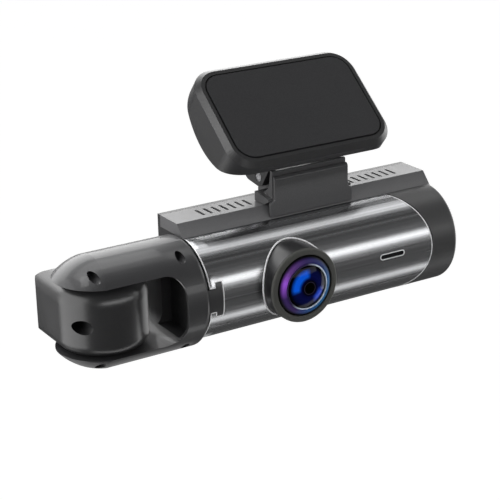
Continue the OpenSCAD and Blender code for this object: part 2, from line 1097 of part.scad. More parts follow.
// Front view of the cabin camera, about its own centre, with rounder upper corners
module pod_section(inset = 0) {
    half = pod_r - inset;
    low = pod_low - pod_mid + inset;
    high = pod_high - pod_mid - inset;
    top_r = pod_top_edge - inset;
    low_r = pod_low_edge - inset;
    translate([-half, low + low_r])
        square([2 * half, high - top_r - low - low_r]);
    translate([top_r - half, 0])
        square([2 * (half - top_r), high]);
    translate([low_r - half, low])
        square([2 * (half - low_r), -low]);
    for (s = [-1, 1]) {
        translate([s * (half - top_r), high - top_r])
            circle(top_r);
        translate([s * (half - low_r), low + low_r])
            circle(low_r);
    }
}

// Rectangle with round corners at its far end, the near edge on the origin
module rear_round_2d(depth, low, high, low_r, high_r) {
    translate([0, low])
        square([depth - low_r, low_r]);
    translate([0, high - high_r])
        square([depth - high_r, high_r]);
    translate([0, low + low_r])
        square([depth, high - low - low_r - high_r]);
    translate([depth - low_r, low + low_r])
        circle(low_r);
    translate([depth - high_r, high - high_r])
        circle(high_r);
}

// Round front half about the swivel axis, and a block behind it with rounded edges
module pod_solid(inset = 0) {
    corner_r = pod_corner - inset / 2;
    translate([pod_x, 0, pod_mid]) {
        rotate([0, 0, 180])
            rotate_extrude(angle = 180)
                intersection() {
                    pod_section(inset);
                    translate([0, -20])
                        square(40);
                }
        intersection() {
            y_extrude(0, pod_rear - inset)
                pod_section(inset);
            z_extrude(-20, 20)
                rotate(90)
                    rear_round_2d(pod_rear - inset, inset - pod_r, pod_r - inset, corner_r, corner_r);
            x_extrude(-20, 20)
                rear_round_2d(pod_rear - inset, pod_low - pod_mid + inset, pod_high - pod_mid - inset,
                    pod_rear_low - inset / 2, pod_rear_top - inset / 2);
        }
    }
}

module pod_front_shell() {
    color([0.13, 0.13, 0.13])
        placed()
            difference() {
                intersection() {
                    pod_solid();
                    box([-60, 0], [-30, pod_split], [-30, 30]);
                }
                difference() {
                    pod_solid(pod_wall);
                    // sleeve of the screw and the two pivot bosses
                    y_cyl(3.1, -30, 30, pod_hole_x, pod_hole_z);
                    z_cyl(3.4, pod_high - 3.4, pod_high, pivot_x, 0);
                    z_cyl(3.4, pod_low, pod_low + 3.4, pivot_x, 0);
                }
                y_cyl(2.1, -30, 8, pod_hole_x, pod_hole_z);
                y_cyl(1, 7, 20, pod_hole_x, pod_hole_z);
                z_cyl(pin_r + fit, pod_high - 2.2, 20, pivot_x, 0);
                z_cyl(pin_r + fit, -20, pod_low + 2.2, pivot_x, 0);
            }
}

module pod_rear_shell() {
    color([0.1, 0.1, 0.1])
        placed()
            difference() {
                intersection() {
                    pod_solid();
                    box([-60, 0], [pod_split, 30], [-30, 30]);
                }
                difference() {
                    pod_solid(pod_wall);
                    y_cyl(1.9, 0, 30, pod_hole_x, pod_hole_z);
                }
                y_cyl(0.9, 0, 15.6, pod_hole_x, pod_hole_z);
                // recess and opening of the window
                y_extrude(pod_rear - 0.9, 30)
                    translate([pod_x, window_z])
                        round_rect(window_w + 0.2, window_h + 0.2, 3.1);
                y_extrude(pod_rear - 3, 30)
                    translate([pod_x + 0.9, window_z])
                        round_rect(15, window_h - 1, 2);
            }
}

module pod_screw() {
    color([0.3, 0.3, 0.31])
        placed()
            translate([pod_hole_x, 0, pod_hole_z]) {
                y_cyl(0.9, 8, 15.5, 0, 0);
                difference() {
                    y_cyl(1.9, 6.8, 8, 0, 0);
                    y_cyl(0.8, 6, 7.4, 0, 0, $fn = 6);
                }
            }
}

module pod_window() {
    color([0.02, 0.02, 0.025])
        placed()
            y_extrude(pod_rear - 0.9, pod_rear - 0.05)
                translate([pod_x, window_z])
                    difference() {
                        round_rect(window_w, window_h, 3);
                        circle(4.6);
                    }
}

module pod_lens_ring() {
    color([0.1, 0.1, 0.1])
        placed()
            pod_ring()
                polygon([
                    [3.6, pod_rear - 2.8], [4.5, pod_rear - 2.8],
                    [4.5, pod_rear + 0.5], [4.2, pod_rear + 0.8], [3.6, pod_rear + 0.8]
                ]);
}

module pod_lens() {
    color([0.03, 0.06, 0.2])
        placed()
            intersection() {
                translate([pod_x, pod_rear - 4.9, window_z])
                    sphere(r = 6);
                y_cyl(3.55, pod_rear - 2.4, 30, pod_x, window_z);
            }
}

module pod_ir_leds() {
    color([0.25, 0.15, 0.2])
        placed()
            for (sx = [-1, 1], sz = [-1, 1])
                translate([pod_x + sx * pod_lamp_x, 0, window_z + sz * pod_lamp_z])
                    y_cyl(1.3, pod_rear - 2.9, pod_rear - 0.95, 0, 0);
}

module pod_board() {
    color([0.05, 0.3, 0.15])
        placed()
            box([pod_x - 7.1, pod_x + 9.1], [pod_rear - 3.9, pod_rear - 2.9],
                [window_z - 5.6, window_z + 5.6]);
}

adhesive_pad();
pad_plate();
pad_back();
pad_screws();
hinge_pin();
hinge_washers();
mount_bracket();
bracket_cover();
bracket_screws();
top_cover();
front_cover();
front_housing();
rear_housing();
end_cap();
housing_screws();
barrel_housing();
barrel_base_ring();
barrel_front_ring();
lens_coated_ring();
lens_trim_ring();
front_lens();
rear_lens();
lens_holder();
sensor_board();
indicator_bezel();
indicator_window();
screen_glass();
lcd_module();
main_board();
key_switches();
processor_heatsink();
battery();
speaker();
microphone();
card_socket();
memory_card();
usb_socket();
power_key();
menu_key();
up_key();
down_key();
arm_flange();
arm_front_shell();
arm_rear_shell();
arm_screws();
pivot_pins();
pod_front_shell();
pod_rear_shell();
pod_screw();
pod_window();
pod_lens();
pod_lens_ring();
pod_ir_leds();
pod_board();
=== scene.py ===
import json
import math

import bmesh
import bpy
from mathutils import Matrix, Vector
from mathutils.geometry import delaunay_2d_cdt


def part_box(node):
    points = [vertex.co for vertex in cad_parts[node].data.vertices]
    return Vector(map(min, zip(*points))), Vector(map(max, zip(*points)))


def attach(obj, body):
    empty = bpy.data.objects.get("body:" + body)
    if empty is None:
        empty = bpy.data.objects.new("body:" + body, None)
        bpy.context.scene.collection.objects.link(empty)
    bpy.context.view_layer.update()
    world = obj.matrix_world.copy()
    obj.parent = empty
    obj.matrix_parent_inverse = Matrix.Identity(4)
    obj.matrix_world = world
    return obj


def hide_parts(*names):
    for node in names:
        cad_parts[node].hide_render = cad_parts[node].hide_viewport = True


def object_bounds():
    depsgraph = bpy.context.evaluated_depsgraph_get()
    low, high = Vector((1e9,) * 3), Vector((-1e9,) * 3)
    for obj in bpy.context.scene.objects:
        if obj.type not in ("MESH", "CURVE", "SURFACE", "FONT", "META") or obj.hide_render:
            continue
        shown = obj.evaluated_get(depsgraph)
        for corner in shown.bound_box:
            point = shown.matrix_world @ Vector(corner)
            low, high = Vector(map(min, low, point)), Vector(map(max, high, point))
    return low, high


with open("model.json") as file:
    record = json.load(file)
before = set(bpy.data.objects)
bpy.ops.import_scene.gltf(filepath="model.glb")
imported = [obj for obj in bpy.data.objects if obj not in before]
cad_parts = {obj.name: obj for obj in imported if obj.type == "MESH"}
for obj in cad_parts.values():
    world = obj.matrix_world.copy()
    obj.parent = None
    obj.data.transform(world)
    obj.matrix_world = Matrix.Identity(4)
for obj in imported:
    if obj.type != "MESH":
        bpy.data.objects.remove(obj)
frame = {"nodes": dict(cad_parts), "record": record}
cad_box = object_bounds()

MM = 0.001
NODES = frame["nodes"]
SLOT_OF = {s["node"]: s["material_slot"] for s in frame["record"]["subparts"]}

# Brushed cover: a sheet bent round an axis along X, its left end at LEFT; AXIS is its middle
COVER_R = 15.5 * MM
COVER_SKIN = 1.0 * MM
cover_low, cover_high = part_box("front_cover")
LEFT = cover_low.x
AXIS = Vector(((cover_low.x + cover_high.x) / 2, cover_low.y + COVER_R, cover_low.z + COVER_R))

# Lens and indicator slot. The two pairs hold x from the cover's left end and height above the axis.
lens_low, lens_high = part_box("barrel_housing")
BARREL_R = (lens_high.x - lens_low.x) / 2
lens_centre = (lens_low + lens_high) / 2
LENS_AXIS = Vector((lens_centre.x, AXIS.y, lens_centre.z))
LENS_ON_COVER = (LENS_AXIS.x - LEFT, LENS_AXIS.z - AXIS.z)
BARREL_BORE = 9.35 * MM
RETAINER_INNER_R = 7.0 * MM
slot_low, slot_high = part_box("indicator_bezel")
SLOT_SIZE = slot_high - slot_low
slot_centre = (slot_low + slot_high) / 2
SLOT_ON_COVER = (slot_centre.x - LEFT, slot_centre.z - AXIS.z)


# ---- camera, floor and lights ----------------------------------------------------


def add_camera():
    """The photograph's viewing angle: from the front left, a little above."""
    right = Vector((0.847333, -0.530683, -0.020047))
    up = Vector((0.198684, 0.281775, 0.938684))
    forward = Vector((0.492495, 0.799361, -0.344195))
    place = Vector((-0.241966, -0.365423, 0.114547))
    data = bpy.data.cameras.new("camera")
    data.lens = 108.17
    data.sensor_width = 36
    data.clip_start = 0.01
    camera = bpy.data.objects.new("camera", data)
    bpy.context.scene.collection.objects.link(camera)
    turn = Matrix((right, up, -forward)).transposed().to_4x4()
    camera.matrix_world = Matrix.Translation(place) @ turn
    bpy.context.scene.camera = camera


def add_floor():
    """A round pale floor that sweeps up into a backdrop on every side."""
    floor_z = cad_box[0][2] - 60 * MM
    flat_r, bend_r, wall_h = 5.0, 2.0, 4.0
    flat_steps, bend_steps, sides = 4, 12, 96
    profile = [(flat_r * i / flat_steps, 0.0) for i in range(1, flat_steps + 1)]
    for i in range(1, bend_steps + 1):
        a = math.radians(90 * i / bend_steps)
        profile.append((flat_r + bend_r * math.sin(a), bend_r * (1 - math.cos(a))))
    profile.append((flat_r + bend_r, bend_r + wall_h))
    mesh = bmesh.new()
    rings = []
    for radius, height in profile:
        ring = []
        for k in range(sides):
            a = 2 * math.pi * k / sides
            ring.append(mesh.verts.new((radius * math.cos(a), radius * math.sin(a), floor_z + height)))
        rings.append(ring)
    mesh.faces.new(rings[0])
    for lower, upper in zip(rings, rings[1:]):
        for k in range(sides):
            n = (k + 1) % sides
            mesh.faces.new((lower[k], lower[n], upper[n], upper[k]))
    data = bpy.data.meshes.new("floor")
    mesh.to_mesh(data)
    mesh.free()
    floor = bpy.data.objects.new("floor", data)
    bpy.context.scene.collection.objects.link(floor)
    data.shade_smooth()
    data.materials.append(floor_paper())
    floor.visible_glossy = False
    floor.visible_diffuse = False
    floor.visible_shadow = False


def floor_paper():
    """White paper that stays evenly bright in the picture."""
    material = bpy.data.materials.new("floor_paper")
    material.use_nodes = True
    shader = material.node_tree.nodes["Principled BSDF"]
    shader.inputs["Base Color"].default_value = (0.06, 0.06, 0.06, 1)
    shader.inputs["Roughness"].default_value = 0.9
    shader.inputs["Emission Color"].default_value = (1, 1, 1, 1)
    shader.inputs["Emission Strength"].default_value = 1.0
    return material


def add_softbox(name, aim, distance, size, radiance, along=(1, 0, 0), shift=0.0, target=AXIS):
    """A softbox seen from the target in the direction aim, its first side parallel to along."""
    length, width = size
    outward = Vector(aim).normalized()
    along = Vector(along)
    along = (along - outward * along.dot(outward)).normalized()
    data = bpy.data.lights.new(name, "AREA")
    data.shape = "RECTANGLE"
    data.size = length
    data.size_y = width
    data.energy = radiance * math.pi * length * width
    light = bpy.data.objects.new(name, data)
    bpy.context.scene.collection.objects.link(light)
    turn = Matrix((along, outward.cross(along), outward)).transposed().to_4x4()
    centre = target + outward * distance + along * shift
    light.matrix_world = Matrix.Translation(centre) @ turn
    light.visible_camera = False


def around_body(elevation):
    """Direction square to the body: 0 is the front, 90 straight up, 180 the back."""
    a = math.radians(elevation)
    return (0, -math.cos(a), math.sin(a))


def add_lights():
    """Far softboxes as in a studio, and near strips where the mount or the arm blocks them."""
    upwards = (0, 0, 1)
    add_softbox("key_front", around_body(18), 0.75, (1.5, 0.20), 2.9, shift=0.35)
    add_softbox("fill_below", around_body(-63), 0.14, (0.42, 0.030), 1.8, shift=0.05)
    add_softbox("top_strip", around_body(101), 0.70, (1.5, 0.26), 1.0, shift=0.35)
    add_softbox("back_light", around_body(156), 0.80, (1.6, 0.55), 3.3, shift=0.30)
    add_softbox("left_light", (-0.974, 0.225, 0), 0.70, (1.2, 1.05), 1.9, along=upwards, shift=0.16)
    add_softbox("right_rim", (1, 0.05, 0), 0.80, (0.9, 0.70), 2.4, along=upwards)
    add_softbox("cover_strip", around_body(75), 0.025, (0.104, 0.006), 0.85, shift=0.008)
    add_softbox("arm_strip", around_body(92), 0.028, (0.040, 0.010), 2.0, shift=-0.064)
    add_softbox("arm_below", around_body(-105), 0.035, (0.075, 0.024), 0.5, shift=-0.068)
    beside_pod = Vector((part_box("pod_front_shell")[1].x - 5 * MM, AXIS.y - 10 * MM, AXIS.z))
    add_softbox("pod_kicker", (0.93, 0.30, -0.2), 0.0098, (0.020, 0.007), 1.0,
                along=upwards, target=beside_pod)
    pad_left_rim = Vector((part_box("pad_plate")[0].x, 0, 0))
    up_the_pad = (0, 0.766, 0.643)
    add_softbox("rim_kicker", (-0.777, -0.015, 0.627), 0.12, (0.05, 0.03), 5.0,
                along=up_the_pad, target=pad_left_rim)
    add_world()


def add_world():
    """A dim white surround, and colours shown as they are."""
    world = bpy.data.worlds.new("studio")
    world.use_nodes = True
    background = world.node_tree.nodes["Background"]
    background.inputs["Color"].default_value = (1, 1, 1, 1)
    background.inputs["Strength"].default_value = 0.1
    bpy.context.scene.world = world
    bpy.context.scene.view_settings.view_transform = "Standard"


# ---- material helpers ------------------------------------------------------------


class Surface:
    """A Principled material with noise patterns in the object's own coordinates, in metres."""

    def __init__(self, name, colour, roughness, metallic=0.0, coat=0.0, specular=0.5):
        self.material = bpy.data.materials.new(name)
        self.material.use_nodes = True
        self.tree = self.material.node_tree
        self.shader = self.tree.nodes["Principled BSDF"]
        self.set("Base Color", (*colour, 1))
        self.set("Roughness", roughness)
        self.set("Metallic", metallic)
        self.set("Coat Weight", coat)
        self.set("Specular IOR Level", specular)
        self.colour = colour
        self.roughness = roughness
        self.place = self.tree.nodes.new("ShaderNodeTexCoord").outputs["Object"]

    def set(self, socket, value):
        self.shader.inputs[socket].default_value = value

    def link(self, value, socket):
        self.tree.links.new(value, self.shader.inputs[socket])

    def noise(self, scale, detail=3.0, stretch=(1, 1, 1)):
        """Noise with this many features a metre, pulled out along an axis by stretch."""
        mapping = self.tree.nodes.new("ShaderNodeMapping")
        mapping.inputs["Scale"].default_value = [scale / s for s in stretch]
        self.tree.links.new(self.place, mapping.inputs["Vector"])
        texture = self.tree.nodes.new("ShaderNodeTexNoise")
        texture.inputs["Scale"].default_value = 1.0
        texture.inputs["Detail"].default_value = detail
        self.tree.links.new(mapping.outputs["Vector"], texture.inputs["Vector"])
        return texture.outputs["Fac"]

    def remap(self, value, start, end, low=0.0, high=1.0):
        """The value brought from the range start to end into low to high."""
        node = self.tree.nodes.new("ShaderNodeMapRange")
        limits = {"From Min": start, "From Max": end, "To Min": low, "To Max": high}
        for socket, limit in limits.items():
            node.inputs[socket].default_value = limit
        self.tree.links.new(value, node.inputs["Value"])
        return node.outputs["Result"]

    def spread(self, noise, low=0.0, high=1.0):
        """Noise lies mostly between 0.3 and 0.7, so that part of it is stretched."""
        return self.remap(noise, 0.3, 0.7, low, high)

    def vary_roughness(self, noise, span):
        self.link(self.spread(noise, self.roughness - span, self.roughness + span), "Roughness")

    def vary_colour(self, noise, darker, lighter):
        """The colour runs from darker to lighter times its own value."""
        mix = self.tree.nodes.new("ShaderNodeMix")
        mix.data_type = "RGBA"
        self.tree.links.new(self.spread(noise), mix.inputs["Factor"])
        for socket in mix.inputs:
            if socket.type == "RGBA":
                factor = darker if socket.name == "A" else lighter
                socket.default_value = (*(min(1, c * factor) for c in self.colour), 1)
        result = [socket for socket in mix.outputs if socket.type == "RGBA"][0]
        self.link(result, "Base Color")

    def bump(self, noise, height):
        """Relief of this height in metres. Gives back the finished material."""
        node = self.tree.nodes.new("ShaderNodeBump")
        node.inputs["Distance"].default_value = height
        node.inputs["Strength"].default_value = 1.0
        self.tree.links.new(noise, node.inputs["Height"])
        self.link(node.outputs["Normal"], "Normal")
        return self.material


def moulded(name, colour, roughness, texture_height=4e-6, coat=0.0, specular=0.5):
    """Moulded plastic with a fine spark-eroded texture and a little handling sheen."""
    s = Surface(name, colour, roughness, coat=coat, specular=specular)
    fine = s.noise(3500, 2)
    s.vary_roughness(s.noise(60, 3), 0.035)
    s.vary_colour(fine, 0.9, 1.12)
    return s.bump(fine, texture_height)


def brushed_metal():
    """Gun-metal sheet, brushed along its length."""
    s = Surface("brushed_metal", (0.425, 0.43, 0.44), 0.25, metallic=1.0)
    hairlines = s.noise(2400, 2, (1200, 1, 1))
    streaks = s.noise(900, 4, (600, 1, 1))
    s.vary_colour(streaks, 0.68, 1.28)
    s.vary_roughness(streaks, 0.05)
    return s.bump(hairlines, 0.25e-6)


def edge_painted_highlight():
    """Rolled ends and beads: nearly white as a painted highlight, and rough enough to look bright from any
    side.
    """
    s = Surface("edge_painted_highlight", (0.97, 0.97, 0.98), 0.5, metallic=0.3)
    s.vary_roughness(s.noise(900, 2), 0.05)
    return s.material


def turned_metal(name, colour, roughness):
    """Metal with fine turning marks."""
    s = Surface(name, colour, roughness, metallic=1.0)
    rings = s.noise(1800, 3)
    s.vary_roughness(rings, 0.06)
    s.vary_colour(rings, 0.85, 1.1)
    return s.bump(rings, 2e-6)


def bright_ring():
    """Thin ring round the glass: a painted highlight from 1 to 7 o'clock, and painted shade where the
    retainer hides it.
    """
    s = Surface("lens_ring_painted_light", WHITE, 0.4, metallic=0.3, specular=0.3)
    clock = about_lens(s)[1]
    # Painted highlight colour and painted shade colour for the clock ramp below.
    painted_glint, painted_shade = (0.75, 0.85, 1.0), (0.03, 0.02, 0.08)
    hue = colour_ramp(s, clock, [(0, painted_glint), (0.06, painted_glint), (0.14, painted_shade), (0.5, painted_shade), (0.6, painted_glint)])
    s.link(hue, "Base Color")
    s.vary_roughness(s.noise(500, 2), 0.05)
    return s.material


def chrome():
    """Plated trim."""
    s = Surface("chrome", (0.85, 0.85, 0.87), 0.24, metallic=1.0)
    s.vary_roughness(s.noise(400, 2), 0.04)
    return s.material


def stamped_metal():
    """Sheet steel with drawing marks."""
    s = Surface("stamped_metal", (0.55, 0.55, 0.57), 0.35, metallic=1.0)
    grain = s.noise(1500, 3, (12, 1, 1))
    s.vary_roughness(grain, 0.08)
    s.vary_colour(grain, 0.85, 1.1)
    return s.material


def adhesive_foam():
    """Matt black foam with fine pores."""
    s = Surface("adhesive_foam", (0.022, 0.022, 0.024), 0.62)
    pores = s.noise(2600, 4)
    s.vary_colour(pores, 0.8, 1.25)
    s.vary_roughness(s.noise(45, 3), 0.05)
    return s.bump(pores, 8e-6)


def circuit_board():
    """Green solder mask over faint tracks."""
    s = Surface("circuit_board", (0.015, 0.1, 0.05), 0.35, coat=0.3)
    tracks = s.noise(700, 1, (6, 1, 1))
    s.vary_colour(tracks, 0.6, 1.5)
    return s.bump(tracks, 2e-5)


def about_lens(s):
    """Radius from the lens axis in metres, and the clock position from 0 (6 o'clock) to 1."""
    shift = s.tree.nodes.new("ShaderNodeVectorMath")
    shift.operation = "SUBTRACT"
    shift.inputs[1].default_value = (LENS_AXIS.x, 0, LENS_AXIS.z)
    s.tree.links.new(s.place, shift.inputs[0])
    split = s.tree.nodes.new("ShaderNodeSeparateXYZ")
    s.tree.links.new(shift.outputs["Vector"], split.inputs["Vector"])

    def maths(operation, first, second=None):
        node = s.tree.nodes.new("ShaderNodeMath")
        node.operation = operation
        for socket, value in zip(node.inputs, (first, second)):
            if isinstance(value, (int, float)):
                socket.default_value = value
            elif value is not None:
                s.tree.links.new(value, socket)
        return node.outputs["Value"]

    x, z = split.outputs["X"], split.outputs["Z"]
    radius = maths("SQRT", maths("ADD", maths("MULTIPLY", x, x), maths("MULTIPLY", z, z)))
    turn = maths("ARCTAN2", x, z)
    clock = maths("ADD", maths("DIVIDE", turn, 2 * math.pi), 0.5)
    return radius, clock


def colour_ramp(s, value, stops):
    """A ramp through (position, colour) stops."""
    ramp = s.tree.nodes.new("ShaderNodeValToRGB")
    elements = ramp.color_ramp.elements
    while len(elements) < len(stops):
        elements.new(1)
    for element, (position, colour) in zip(elements, stops):
        element.position = position
        element.color = (*colour, 1)
    s.tree.links.new(value, ramp.inputs["Fac"])
    return ramp.outputs["Color"]


def blended(s, first, second, mode="MULTIPLY"):
    """Two colours multiplied, or joined in another mode of the Mix node."""
    mix = s.tree.nodes.new("ShaderNodeMix")
    mix.data_type = "RGBA"
    mix.blend_type = mode
    mix.inputs["Factor"].default_value = 1
    sockets = [socket for socket in mix.inputs if socket.type == "RGBA"]
    s.tree.links.new(first, sockets[0])
    s.tree.links.new(second, sockets[1])
    return [socket for socket in mix.outputs if socket.type == "RGBA"][0]


# Colours of the coatings, the bright purple a painted highlight
VIOLET, PURPLE_PAINTED_HIGHLIGHT, PLUM = (0.05, 0.025, 0.13), (0.46, 0.13, 0.95), (0.17, 0.06, 0.32)
INDIGO, NAVY = (0.045, 0.028, 0.15), (0.02, 0.045, 0.17)
TEAL, SLATE = (0.008, 0.12, 0.32), (0.03, 0.085, 0.27)
BLACK, WHITE = (0, 0, 0), (1, 1, 1)


def coated_annulus():
    """Coated lens retainer: violet and purple on the left, indigo on top, teal on the right; the bright
    purple is a painted highlight and the darkening towards the outer edge is painted shade.
    """
    s = Surface("lens_coating", VIOLET, 0.4, specular=0.1)
    radius, clock = about_lens(s)
    # The coating's colours round the clock, the bright purple on the left a painted highlight.
    hue = colour_ramp(s, clock, [(0, SLATE), (0.09, VIOLET), (0.2, VIOLET), (0.3, PURPLE_PAINTED_HIGHLIGHT), (0.37, PLUM),
                                 (0.5, INDIGO), (0.64, NAVY), (0.75, TEAL), (0.9, TEAL), (1, SLATE)])
    inner, outer = RETAINER_INNER_R, 9.3 * MM
    # Painted shade: darker towards the outer edge, so the painted highlight keeps to the inner part.
    shade = colour_ramp(s, s.remap(radius, inner, outer), [(0, WHITE), (0.45, WHITE), (0.8, BLACK)])
    s.link(blended(s, hue, shade), "Base Color")
    s.vary_roughness(s.noise(900, 2), 0.04)
    return s.material


def lens_glass():
    """Coated front element: bright and deep blue crescents on navy, which are painted reflections, and a
    black pupil with a thin ring, the pupil painted shade of the dark inside.
    """
    s = Surface("lens_glass", NAVY, 0.06, specular=0.08)
    radius, clock = about_lens(s)
    rim = 6.6 * MM
    outwards = s.remap(radius, 0, rim)
    # Painted reflection colours round the clock: bright and deep blue crescents between dark blue.
    deep, azure_reflection, middle = (0.001, 0.002, 0.03), (0.003, 0.14, 1.0), (0.03, 0.09, 0.7)
    hue = colour_ramp(s, clock, [(0.0, deep), (0.2, deep), (0.25, azure_reflection), (0.48, azure_reflection), (0.53, deep),
                                 (0.76, deep), (0.83, middle), (0.89, middle), (0.95, deep)])
    thin_ring, depths, dusk = (0.035, 0.03, 0.06), (0.002, 0.003, 0.05), (0.001, 0.002, 0.02)
    # Painted reflections in a band round the middle; the black middle is the pupil's painted shade.
    crescent = colour_ramp(s, outwards, [(0, BLACK), (0.42, BLACK), (0.55, WHITE), (0.72, WHITE),
                                         (0.88, BLACK)])
    ring = colour_ramp(s, outwards, [(0, BLACK), (0.25, BLACK), (0.28, thin_ring), (0.31, BLACK),
                                     (0.42, depths), (0.8, dusk), (0.95, BLACK)])
    s.link(blended(s, blended(s, hue, crescent), ring, "ADD"), "Base Color")
    s.vary_roughness(s.noise(300, 2), 0.015)
    return s.material


def dark_glass():
    """Black glass with a clear coat and faint smears."""
    s = Surface("dark_glass", (0.006, 0.006, 0.008), 0.07, coat=1.0)
    s.set("Coat Roughness", 0.03)
    s.vary_roughness(s.noise(30, 4), 0.03)
    s.vary_colour(s.noise(40, 2), 0.8, 1.3)
    return s.material


def make_materials():
    """One material for each slot, and three more for parts of the new pieces."""
    return {
        "adhesive": adhesive_foam(),
        "pad_shell": moulded("pad_plastic", (0.024, 0.024, 0.025), 0.36),
        "bracket_shell": moulded("bracket_plastic", (0.065, 0.065, 0.067), 0.42),
        "steel": turned_metal("steel", (0.55, 0.55, 0.57), 0.28),
        "dark_steel": turned_metal("dark_steel", (0.06, 0.06, 0.065), 0.38),
        "brushed_cover": brushed_metal(),
        "edge": edge_painted_highlight(),
        "top_shell": moulded("top_plastic", (0.1, 0.1, 0.103), 0.4),
        "body_shell": moulded("body_plastic", (0.012, 0.012, 0.013), 0.42),
        "face_ring": moulded("face_ring_plastic", (0.075, 0.076, 0.07), 0.55, specular=0.3),
        "cap_shell": moulded("cap_plastic", (0.045, 0.045, 0.046), 0.43),
        "arm_shell": moulded("arm_plastic", (0.034, 0.034, 0.036), 0.45, coat=0.25),
        "pod_shell": moulded("pod_plastic", (0.022, 0.022, 0.023), 0.32, texture_height=1e-6, specular=0.8),
        "barrel": moulded("barrel_plastic", (0.006, 0.006, 0.007), 0.3, texture_height=2e-7, specular=0.6),
        "chrome_trim": chrome(),
        "bright_ring": bright_ring(),
        "coated": coated_annulus(),
        "lens_glass": lens_glass(),
        "inner_black": moulded("inner_plastic", (0.008, 0.008, 0.009), 0.55),
        "circuit_board": circuit_board(),
        "light_guide": moulded("light_guide", (0.006, 0.006, 0.007), 0.12, texture_height=1e-7, coat=0.5),
        "screen": dark_glass(),
        "display": moulded("display", (0.02, 0.02, 0.022), 0.3),
        "metal_can": stamped_metal(),
        "battery_wrap": moulded("battery_wrap", (0.05, 0.07, 0.16), 0.35),
        "gold_can": turned_metal("gold_can", (0.6, 0.45, 0.16), 0.3),
        "key_cap": moulded("key_plastic", (0.03, 0.03, 0.032), 0.45),
        "ir_lamp": moulded("ir_resin", (0.05, 0.006, 0.02), 0.12, texture_height=1e-7, coat=0.8),
    }


# ---- new pieces ------------------------------------------------------------------


def add_piece(name, mesh, materials, body, slot, *replaced):
    """Puts a bmesh in the scene as a piece that rides on a body and stands for CAD nodes."""
    data = bpy.data.meshes.new(name)
    mesh.to_mesh(data)
    mesh.free()
    data.shade_smooth()
    for material in materials:
        data.materials.append(material)
    piece = bpy.data.objects.new(name, data)
    bpy.context.scene.collection.objects.link(piece)
    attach(piece, body)
    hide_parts(*replaced)
    return piece


def on_cover(x, across, radius=COVER_R):
    """A point at x from the cover's left end and this far round it, upwards from the front line."""
    a = across / COVER_R
    return Vector((LEFT + x, AXIS.y - radius * math.cos(a), AXIS.z + radius * math.sin(a)))


def round_of(height):
    """Distance round the cover to a height above the axis."""
    return COVER_R * math.asin(height / COVER_R)


def divided(corners, step=1.0 * MM):
    """A closed outline with a point at least every step."""
    points = []
    for (x0, y0), (x1, y1) in zip(corners, corners[1:] + corners[:1]):
        count = max(1, math.ceil(math.hypot(x1 - x0, y1 - y0) / step))
        points += [(x0 + (x1 - x0) * i / count, y0 + (y1 - y0) * i / count) for i in range(count)]
    return points


def moved_in(outline, distance):
    """The outline moved to its left by this distance, mitred at its corners."""
    narrowest = 0.4
    result = []
    count = len(outline)
    for i in range(count):
        before, here, after = (Vector(outline[(i + k) % count]) for k in (-1, 0, 1))
        d0, d1 = (here - before).normalized(), (after - here).normalized()
        n0, n1 = Vector((-d0.y, d0.x)), Vector((-d1.y, d1.x))
        middle = (n0 + n1).normalized()
        result.append(tuple(here + middle * distance / max(narrowest, middle.dot(n0))))
    return result


def cover_outline():
    """The cover laid flat: slanted right end, tab notch at the left end. Anticlockwise."""
    turn, lean = math.radians(32.5), math.radians(2.8)
    length, behind_at_foot, ahead_at_top = 79.7 * MM, 2 * MM, 1.2 * MM
    low = -COVER_R * (math.pi - math.acos(behind_at_foot / COVER_R))
    high = COVER_R * math.acos(ahead_at_top / COVER_R)
    stem_x, stem_half, bar_x, bar_half, tab_z = (v * MM for v in (2.22, 3.48, 4.18, 4.98, 0.6))

    def right_end(across):
        a = across / COVER_R
        slant = (1 - math.cos(a)) * math.tan(turn) - math.sin(a) * math.tan(lean) / math.cos(turn)
        return length - COVER_R * slant

    steps = 60
    corners = [(0, low)]
    for i in range(steps + 1):
        across = low + (high - low) * i / steps
        corners.append((right_end(across), across))
    corners += [(0, high), (0, round_of(tab_z + stem_half)), (stem_x, round_of(tab_z + stem_half)),
                (stem_x, round_of(tab_z + bar_half)), (bar_x, round_of(tab_z + bar_half)),
                (bar_x, round_of(tab_z - bar_half)), (stem_x, round_of(tab_z - bar_half)),
                (stem_x, round_of(tab_z - stem_half)), (0, round_of(tab_z - stem_half))]
    return divided(corners)


def slot_path(centre_x, centre_z, length, height, steps=16):
    """Points (x, z) round a slot with round ends, clockwise."""
    r = height / 2
    points = []
    for end, start in ((1, 90), (-1, 270)):
        for i in range(steps + 1):
            a = math.radians(start - 180 * i / steps)
            points.append((centre_x + end * (length / 2 - r) + r * math.cos(a), centre_z + r * math.sin(a)))
    return points


def circle_path(centre_x, centre_z, radius, steps=128):
    """Points (x, z) round a circle, clockwise."""
    turns = [-2 * math.pi * i / steps for i in range(steps)]
    return [(centre_x + radius * math.cos(a), centre_z + radius * math.sin(a)) for a in turns]


def inside(point, outline):
    """Whether a point is within a closed outline, by counting the edges that a ray crosses."""
    x, y = point
    found = False
    for (x0, y0), (x1, y1) in zip(outline, outline[1:] + outline[:1]):
        if (y0 > y) != (y1 > y) and x < x0 + (y - y0) * (x1 - x0) / (y1 - y0):
            found = not found
    return found


